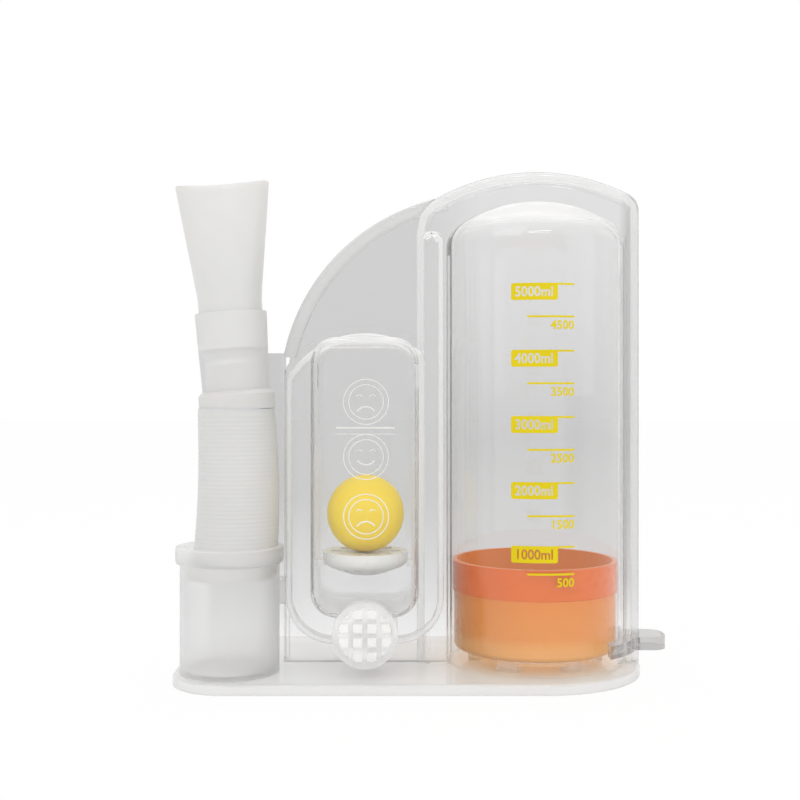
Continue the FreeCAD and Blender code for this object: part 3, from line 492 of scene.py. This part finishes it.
def wrap_on_chamber(piece, proud):
    """Wrap flat artwork, drawn in the X-Z plane, round the front of the chamber."""
    for vertex in piece.data.vertices:
        turn = (vertex.co.x / MM - CHAMBER_X) / CHAMBER_R
        radius = (CHAMBER_R + proud - vertex.co.y / MM) * MM
        vertex.co.x = CHAMBER_X * MM + radius * math.sin(turn)
        vertex.co.y = -radius * math.cos(turn)


def flat_bar(name, x, z):
    """A thin bar of the print between two places across and two heights."""
    start_fresh()
    bpy.ops.mesh.primitive_plane_add(size=1, rotation=(math.pi / 2, 0, 0),
                                     location=((x[0] + x[1]) / 2 * MM, 0, (z[0] + z[1]) / 2 * MM))
    bpy.ops.transform.resize(value=((x[1] - x[0]) * MM, 1, (z[1] - z[0]) * MM))
    return settle(name)


def round_box(name, x, z, bend):
    """A flat box of the print with rounded corners."""
    piece = flat_bar(name, x, z)
    bpy.ops.object.mode_set(mode="EDIT")
    bpy.ops.mesh.select_all(action="SELECT")
    bpy.ops.mesh.bevel(offset=bend * MM, segments=4, affect="VERTICES")
    bpy.ops.object.mode_set(mode="OBJECT")
    return piece


def numerals(name, words, x, z, size, align, narrow=1.0):
    """Plain bold numerals as flat artwork."""
    start_fresh()
    bpy.ops.object.text_add(rotation=(math.pi / 2, 0, 0), location=(x * MM, 0, z * MM))
    text = bpy.context.object
    text.data.body = words
    text.data.size = size * MM
    text.data.align_x = align
    text.data.resolution_u = 3
    text.data.offset = 0.1 * MM
    text.scale = (narrow, 1, 1)
    bpy.ops.object.convert(target="MESH")
    return settle(name)


def thicken(piece, depth):
    """Give flat artwork its thickness, outwards from the chamber."""
    select_only(piece)
    modifier = piece.modifiers.new("thickness", "SOLIDIFY")
    modifier.thickness = depth * MM
    modifier.offset = 0
    bpy.ops.object.modifier_apply(modifier=modifier.name)


def knock_out(piece, tool):
    """Cut one flat piece of artwork out of another."""
    select_only(piece)
    modifier = piece.modifiers.new("knock_out", "BOOLEAN")
    modifier.operation = "DIFFERENCE"
    modifier.solver = "EXACT"
    modifier.use_self = True
    modifier.object = tool
    bpy.ops.object.modifier_apply(modifier=modifier.name)
    bpy.data.objects.remove(tool)


def slice_up(piece, pitch):
    """Cut flat artwork into upright strips, so that it can follow the chamber's curve."""
    select_only(piece)
    sides = [vertex.co.x for vertex in piece.data.vertices]
    bpy.ops.object.mode_set(mode="EDIT")
    for step in range(1, int((max(sides) - min(sides)) / (pitch * MM))):
        bpy.ops.mesh.select_all(action="SELECT")
        bpy.ops.mesh.bisect(plane_co=(min(sides) + step * pitch * MM, 0, 0), plane_no=(1, 0, 0))
    bpy.ops.object.mode_set(mode="OBJECT")


SCALE_TOPS = {1000: 58.8, 2000: 84.7, 3000: 111.5, 4000: 138.4, 5000: 165.5}
SCALE_HALVES = {500: 47.7, 1500: 71.3, 2500: 98.2, 3500: 125.2, 4500: 152.3}
SCALE_LEFT, SCALE_RIGHT, SCALE_END = CHAMBER_X - 14.1, CHAMBER_X + 4.9, CHAMBER_X + 11.9
BOX_TALL, BOX_BEND, LINE_WIDE, INK, INK_PROUD = 6.9, 0.9, 0.8, 0.1, 0.08


def inked(piece):
    thicken(piece, INK)
    return piece


def scale_box(amount, top):
    """A box with the amount cut out of it, and the line that runs on to its right."""
    box = inked(round_box("scale_box_%d" % amount, (SCALE_LEFT, SCALE_RIGHT), (top - BOX_TALL, top),
                          BOX_BEND))
    number = numerals("scale_number_%d" % amount, "%dml" % amount, SCALE_LEFT + 1.5, top - 5.35, 5.7,
                      "LEFT", narrow=0.92)
    thicken(number, 1)
    knock_out(box, number)
    across = (SCALE_RIGHT - 0.5, SCALE_END)
    return [box, inked(flat_bar("scale_line_%d" % amount, across, (top - LINE_WIDE, top)))]


def scale_half(amount, height):
    """A short line with its number below."""
    across = (CHAMBER_X - 7.5, SCALE_END)
    line = inked(flat_bar("half_line_%d" % amount, across, (height - LINE_WIDE, height)))
    number = numerals("half_number_%d" % amount, "%d" % amount, SCALE_END, height - 5.45, 5.0, "RIGHT")
    return [line, inked(number)]


def make_scale(finish):
    """Yellow scale: a box with cut-out millilitres at each thousand, a line and a number at each half."""
    parts = []
    for amount, top in SCALE_TOPS.items():
        parts += scale_box(amount, top)
    for amount, height in SCALE_HALVES.items():
        parts += scale_half(amount, height)
    join_all(parts)
    piece = settle("scale_print", smooth=20)
    slice_up(piece, 1.6)
    wrap_on_chamber(piece, INK_PROUD)
    return dress(piece, finish, body="housing", slot="yellow_ball")


def relief_ring(parts, radius, x, z, wire):
    start_fresh()
    bpy.ops.mesh.primitive_torus_add(major_radius=radius * MM, minor_radius=wire * MM, major_segments=64,
                                     minor_segments=8, rotation=(math.pi / 2, 0, 0),
                                     location=(x * MM, WINDOW_FRONT * MM, z * MM))
    parts.append(settle("relief_ring"))


def relief_arc(parts, radius, x, z, start, sweep, wire):
    """A raised line along an arc: a small circle spun about the arc's centre."""
    start_fresh()
    place = (x + radius * math.cos(start), WINDOW_FRONT, z + radius * math.sin(start))
    bpy.ops.mesh.primitive_circle_add(vertices=8, radius=wire * MM, fill_type="NGON",
                                      rotation=(0, -start, 0), location=[v * MM for v in place])
    bpy.ops.object.mode_set(mode="EDIT")
    bpy.ops.mesh.select_all(action="SELECT")
    bpy.ops.mesh.spin(steps=14, angle=sweep, center=(x * MM, WINDOW_FRONT * MM, z * MM), axis=(0, 1, 0))
    bpy.ops.mesh.select_all(action="SELECT")
    bpy.ops.mesh.normals_make_consistent(inside=False)
    parts.append(settle("relief_arc"))


def relief_line(parts, x, z, wire):
    start_fresh()
    bpy.ops.mesh.primitive_cylinder_add(vertices=12, radius=wire * MM, depth=(x[1] - x[0]) * MM,
                                        rotation=(0, math.pi / 2, 0),
                                        location=((x[0] + x[1]) / 2 * MM, WINDOW_FRONT * MM, z * MM))
    parts.append(settle("relief_line"))


FACE_X, FACES, FACE_RINGS = -17.2, ((117.2, False), (94.6, True), (70.1, False)), (7.1, 9.24)
EYE_R, MOUTH_R = 1.5, 4.4
DIVIDER_ENDS, DIVIDER_LINES = (-29.5, -5.3), ((106.5, 0.34), (104.0, 0.16))


def make_pictograms(finish):
    """Three plain faces in rings and a pair of lines, raised a little on the window's front."""
    parts = []
    arch, from_right, from_left = [math.radians(turn) for turn in (110, 35, 215)]
    for z, glad in FACES:
        for radius in FACE_RINGS:
            relief_ring(parts, radius, FACE_X, z, wire=0.2)
        for side in (-1, 1):
            relief_arc(parts, EYE_R, FACE_X + side * 2.7, z + 1.4, from_right, arch, wire=0.18)
        if glad:
            relief_arc(parts, MOUTH_R, FACE_X, z + 1.2, from_left, arch, wire=0.3)
        else:
            relief_arc(parts, MOUTH_R, FACE_X, z - 6.4, from_right, arch, wire=0.3)
    for z, wire in DIVIDER_LINES:
        relief_line(parts, DIVIDER_ENDS, z, wire)
    join_all(parts)
    return dress(settle("window_pictograms"), finish, body="housing", slot="clear_shell")


def arc_points(centre, radius, start, end, steps=24):
    """Points along an arc in the X-Z plane, angles in degrees from +X towards +Z."""
    turns = [math.radians(start + (end - start) * step / steps) for step in range(steps + 1)]
    return [(centre[0] + radius * math.cos(turn), centre[1] + radius * math.sin(turn)) for turn in turns]


def edge_bead(name, points, y, wide, deep):
    """A half-round bead laid along a line of the front moulding."""
    start_fresh()
    curve = bpy.data.curves.new(name, "CURVE")
    curve.dimensions = "3D"
    curve.bevel_depth = wide * MM
    curve.bevel_resolution = 4
    curve.use_fill_caps = True
    line = curve.splines.new("POLY")
    line.points.add(len(points) - 1)
    for spot, (x, z) in zip(line.points, points):
        spot.co = (x * MM, 0, z * MM, 1)
    piece = bpy.data.objects.new(name, curve)
    bpy.context.collection.objects.link(piece)
    select_only(piece)
    bpy.ops.object.convert(target="MESH")
    piece = bpy.context.object
    piece.scale = (1, deep / wide, 1)
    piece.location = (0, y * MM, 0)
    return settle(name, smooth=50)


def airway_route():
    """Round the airway from the duct's foot, left and down and up again, and over the duct's top."""
    left, right, foot = AIRWAY_LEFT + AIRWAY_LIP, AIRWAY_RIGHT - AIRWAY_LIP, AIRWAY_FOOT + AIRWAY_LIP
    bend, arch, turn = AIRWAY_BEND - AIRWAY_LIP, AIRWAY_ARCH - AIRWAY_LIP, DUCT_BEND - AIRWAY_LIP
    crown, duct_crown = (WINDOW_X, AIRWAY_TOP - AIRWAY_ARCH), DUCT_TOP - DUCT_BEND
    start, end = [math.degrees(math.acos((side - crown[0]) / arch))
                  for side in (FLANGE_LEFT + AIRWAY_LIP, left)]
    route = arc_points(crown, arch, start, end)
    route += arc_points((left + bend, foot + bend), bend, 180, 270)
    route += arc_points((right - bend, foot + bend), bend, 270, 360)
    route += [(right, duct_crown)]
    route += arc_points((right - DUCT_BEND, duct_crown), turn, 0, 90, 8)
    route += arc_points((FLANGE_LEFT + 2 * AIRWAY_LIP + DUCT_BEND, duct_crown), turn, 90, 170, 8)
    return route


def flange_route():
    """Up the main flange's left edge, over its arch and down its right edge."""
    arch = FLANGE_ARCH - FLANGE_LIP_IN
    left, right = FLANGE_LEFT + FLANGE_LIP_IN, FLANGE_RIGHT - FLANGE_LIP_IN
    crown = (CHAMBER_X, TALL - FLANGE_ARCH)
    reaches = [left - crown[0] + 6, right - crown[0] - 4]
    start, end = [math.degrees(math.acos(reach / arch)) for reach in reaches]
    low, high = [crown[1] + math.sqrt(arch ** 2 - reach ** 2) for reach in reaches]
    route = [(left, LIP_FOOT), (left, low - 12), (left + 1.6, low - 5)]
    route += arc_points(crown, arch, start, end, 48)
    return route + [(right - 0.8, high - 3.5), (right, high - 8), (right, LIP_FOOT)]


def make_beads(finish):
    """The lip round the airway, which runs on up the duct, and the lip along the main flange; their hazier
    white finish is a painted highlight along them.
    """
    join_all([edge_bead("airway_lip", airway_route(), AIRWAY_FRONT + 0.3, AIRWAY_LIP, 0.7),
              edge_bead("flange_lip", flange_route(), FLANGE_FRONT, 1.7, 0.6)])
    return dress(settle("raised_lips", smooth=50), finish, body="housing", slot="clear_shell")


BALL_STEPS, BALL_SEAM, BALL_POLE = 40, 0.06, 0.02


def make_ball(finish):
    """A moulded ball with a fine parting line."""
    low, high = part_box("flow_ball")
    middle = [(a + b) / 2 / MM for a, b in zip(low, high)]
    radius = (high.x - low.x) / 2 / MM
    rings = []
    for step in range(1, BALL_STEPS):
        turn = math.pi * (step / BALL_STEPS - 0.5)
        seam = BALL_SEAM if abs(turn) < 0.01 else 0
        rings.append((middle[2] + radius * math.sin(turn), (radius - seam) * math.cos(turn)))
    rings = [(middle[2] - radius, BALL_POLE)] + rings + [(middle[2] + radius, BALL_POLE)]
    piece = raise_rings("moulded_ball", (middle[0], middle[1]), even(rings), sides=96, cap=True, smooth=60)
    return dress(piece, finish, "flow_ball", body="ball", slot="yellow_ball")


VIEW_LENS, VIEW_SENSOR, VIEW_PLACE = 49.5, 36, (-0.00325, -0.484, 0.118)
MIDDLE = (0, 0, 0.1)
ROOM_LIGHT, FLOOR_WHITE = 0.88, 0.95


def make_camera():
    camera = bpy.data.cameras.new("camera")
    camera.lens = VIEW_LENS
    camera.sensor_width = VIEW_SENSOR
    view = bpy.data.objects.new("camera", camera)
    view.location = VIEW_PLACE
    view.rotation_euler = (math.pi / 2, 0, 0)
    bpy.context.collection.objects.link(view)
    bpy.context.scene.camera = view


def soft_lamp(name, place, aim, size, power):
    lamp = bpy.data.lights.new(name, "AREA")
    lamp.shape = "RECTANGLE"
    lamp.size, lamp.size_y = size
    lamp.energy = power
    thing = bpy.data.objects.new(name, lamp)
    thing.location = place
    bpy.context.collection.objects.link(thing)
    way = [b - a for a, b in zip(place, aim)]
    flat = math.hypot(way[0], way[1])
    thing.rotation_euler = (math.atan2(flat, -way[2]), 0, math.atan2(way[1], way[0]) - math.pi / 2)


def make_lamps():
    soft_lamp("key", (-0.7, -0.8, 0.9), MIDDLE, (0.9, 0.7), 2.0)
    soft_lamp("fill", (0.9, -0.6, 0.5), MIDDLE, (0.8, 0.8), 0.9)
    soft_lamp("top", (0.1, 0.3, 1.1), MIDDLE, (1.0, 0.6), 1.5)
    soft_lamp("strip", (0.05, -0.9, 0.69), (0.05, 0, 0.15), (0.5, 0.06), 0.9)


def show_to_viewer(tree):
    """1 for rays that come from the camera, a gloss or a clear piece."""
    path = tree.nodes.new("ShaderNodeLightPath")
    seen = sum_up(tree, "MAXIMUM", path.outputs["Is Camera Ray"], path.outputs["Is Glossy Ray"])
    return sum_up(tree, "MAXIMUM", seen, path.outputs["Is Transmission Ray"])


def make_world():
    world = bpy.data.worlds.new("studio")
    bpy.context.scene.world = world
    world.use_nodes = True
    tree = world.node_tree
    room = tree.nodes["Background"]
    room.inputs["Color"].default_value = (1, 0.99, 0.98, 1)
    room.inputs["Strength"].default_value = ROOM_LIGHT
    white = tree.nodes.new("ShaderNodeBackground")
    white.inputs["Color"].default_value = (1, 1, 1, 1)
    white.inputs["Strength"].default_value = 1
    both = mix_shaders(tree, show_to_viewer(tree), room.outputs["Background"], white.outputs["Background"])
    tree.links.new(both, tree.nodes["World Output"].inputs["Surface"])


def make_floor():
    """A pale floor that keeps a faint shadow and shows as the white background."""
    start_fresh()
    bpy.ops.mesh.primitive_plane_add(size=12, location=(0, 0, -0.0002))
    floor = bpy.context.object
    floor.name = "floor"
    material, tree, shader, place = new_finish("pale_floor")
    drift = speckle(tree, place, 3, 2)
    tree.links.new(blend_colours(tree, drift.outputs["Fac"], (0.88, 0.88, 0.88), (0.9, 0.9, 0.9)),
                   shader.inputs["Base Color"])
    shader.inputs["Roughness"].default_value = 0.9
    shader.inputs["Specular IOR Level"].default_value = 0.1
    white = tree.nodes.new("ShaderNodeEmission")
    white.inputs["Color"].default_value = (1, 1, 1, 1)
    white.inputs["Strength"].default_value = 1
    share = sum_up(tree, "MULTIPLY", show_to_viewer(tree), FLOOR_WHITE)
    both = mix_shaders(tree, share, shader.outputs["BSDF"], white.outputs["Emission"])
    tree.links.new(both, tree.nodes["Material Output"].inputs["Surface"])
    floor.data.materials.append(material)


NODE_FINISHES = {
    "front_shell": "front", "rear_shell": "rear", "piston_rest": "rest", "inlet_grille": "grille",
    "hose_backplate": "rear", "goal_slider": "marker", "base_tray": "base", "hose_cup": "cup",
    "piston_cup": "orange", "piston_band": "band", "ball_seat": "seat", "inlet_filter": "foam",
    "hose_plug": "hose", "hose_cuff": "hose", "valve_body": "collar", "valve_seat": "milky",
    "valve_flap": "silicone",
}


def main():
    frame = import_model()
    start_fresh()
    bpy.context.scene.view_settings.view_transform = "Standard"
    make_camera()
    finishes = make_finishes()
    for node, finish in NODE_FINISHES.items():
        thing = frame["nodes"][node]
        thing.data.materials.clear()
        thing.data.materials.append(finishes[finish])
    make_bellows(finishes["hose"])
    make_mouthpiece(finishes["milky"])
    make_floor_rings(finishes["relief"])
    make_ball(finishes["ball"])
    make_scale(finishes["print"])
    make_pictograms(finishes["relief"])
    make_beads(finishes["bead_and_highlight"])
    make_world()
    make_lamps()
    make_floor()


main()
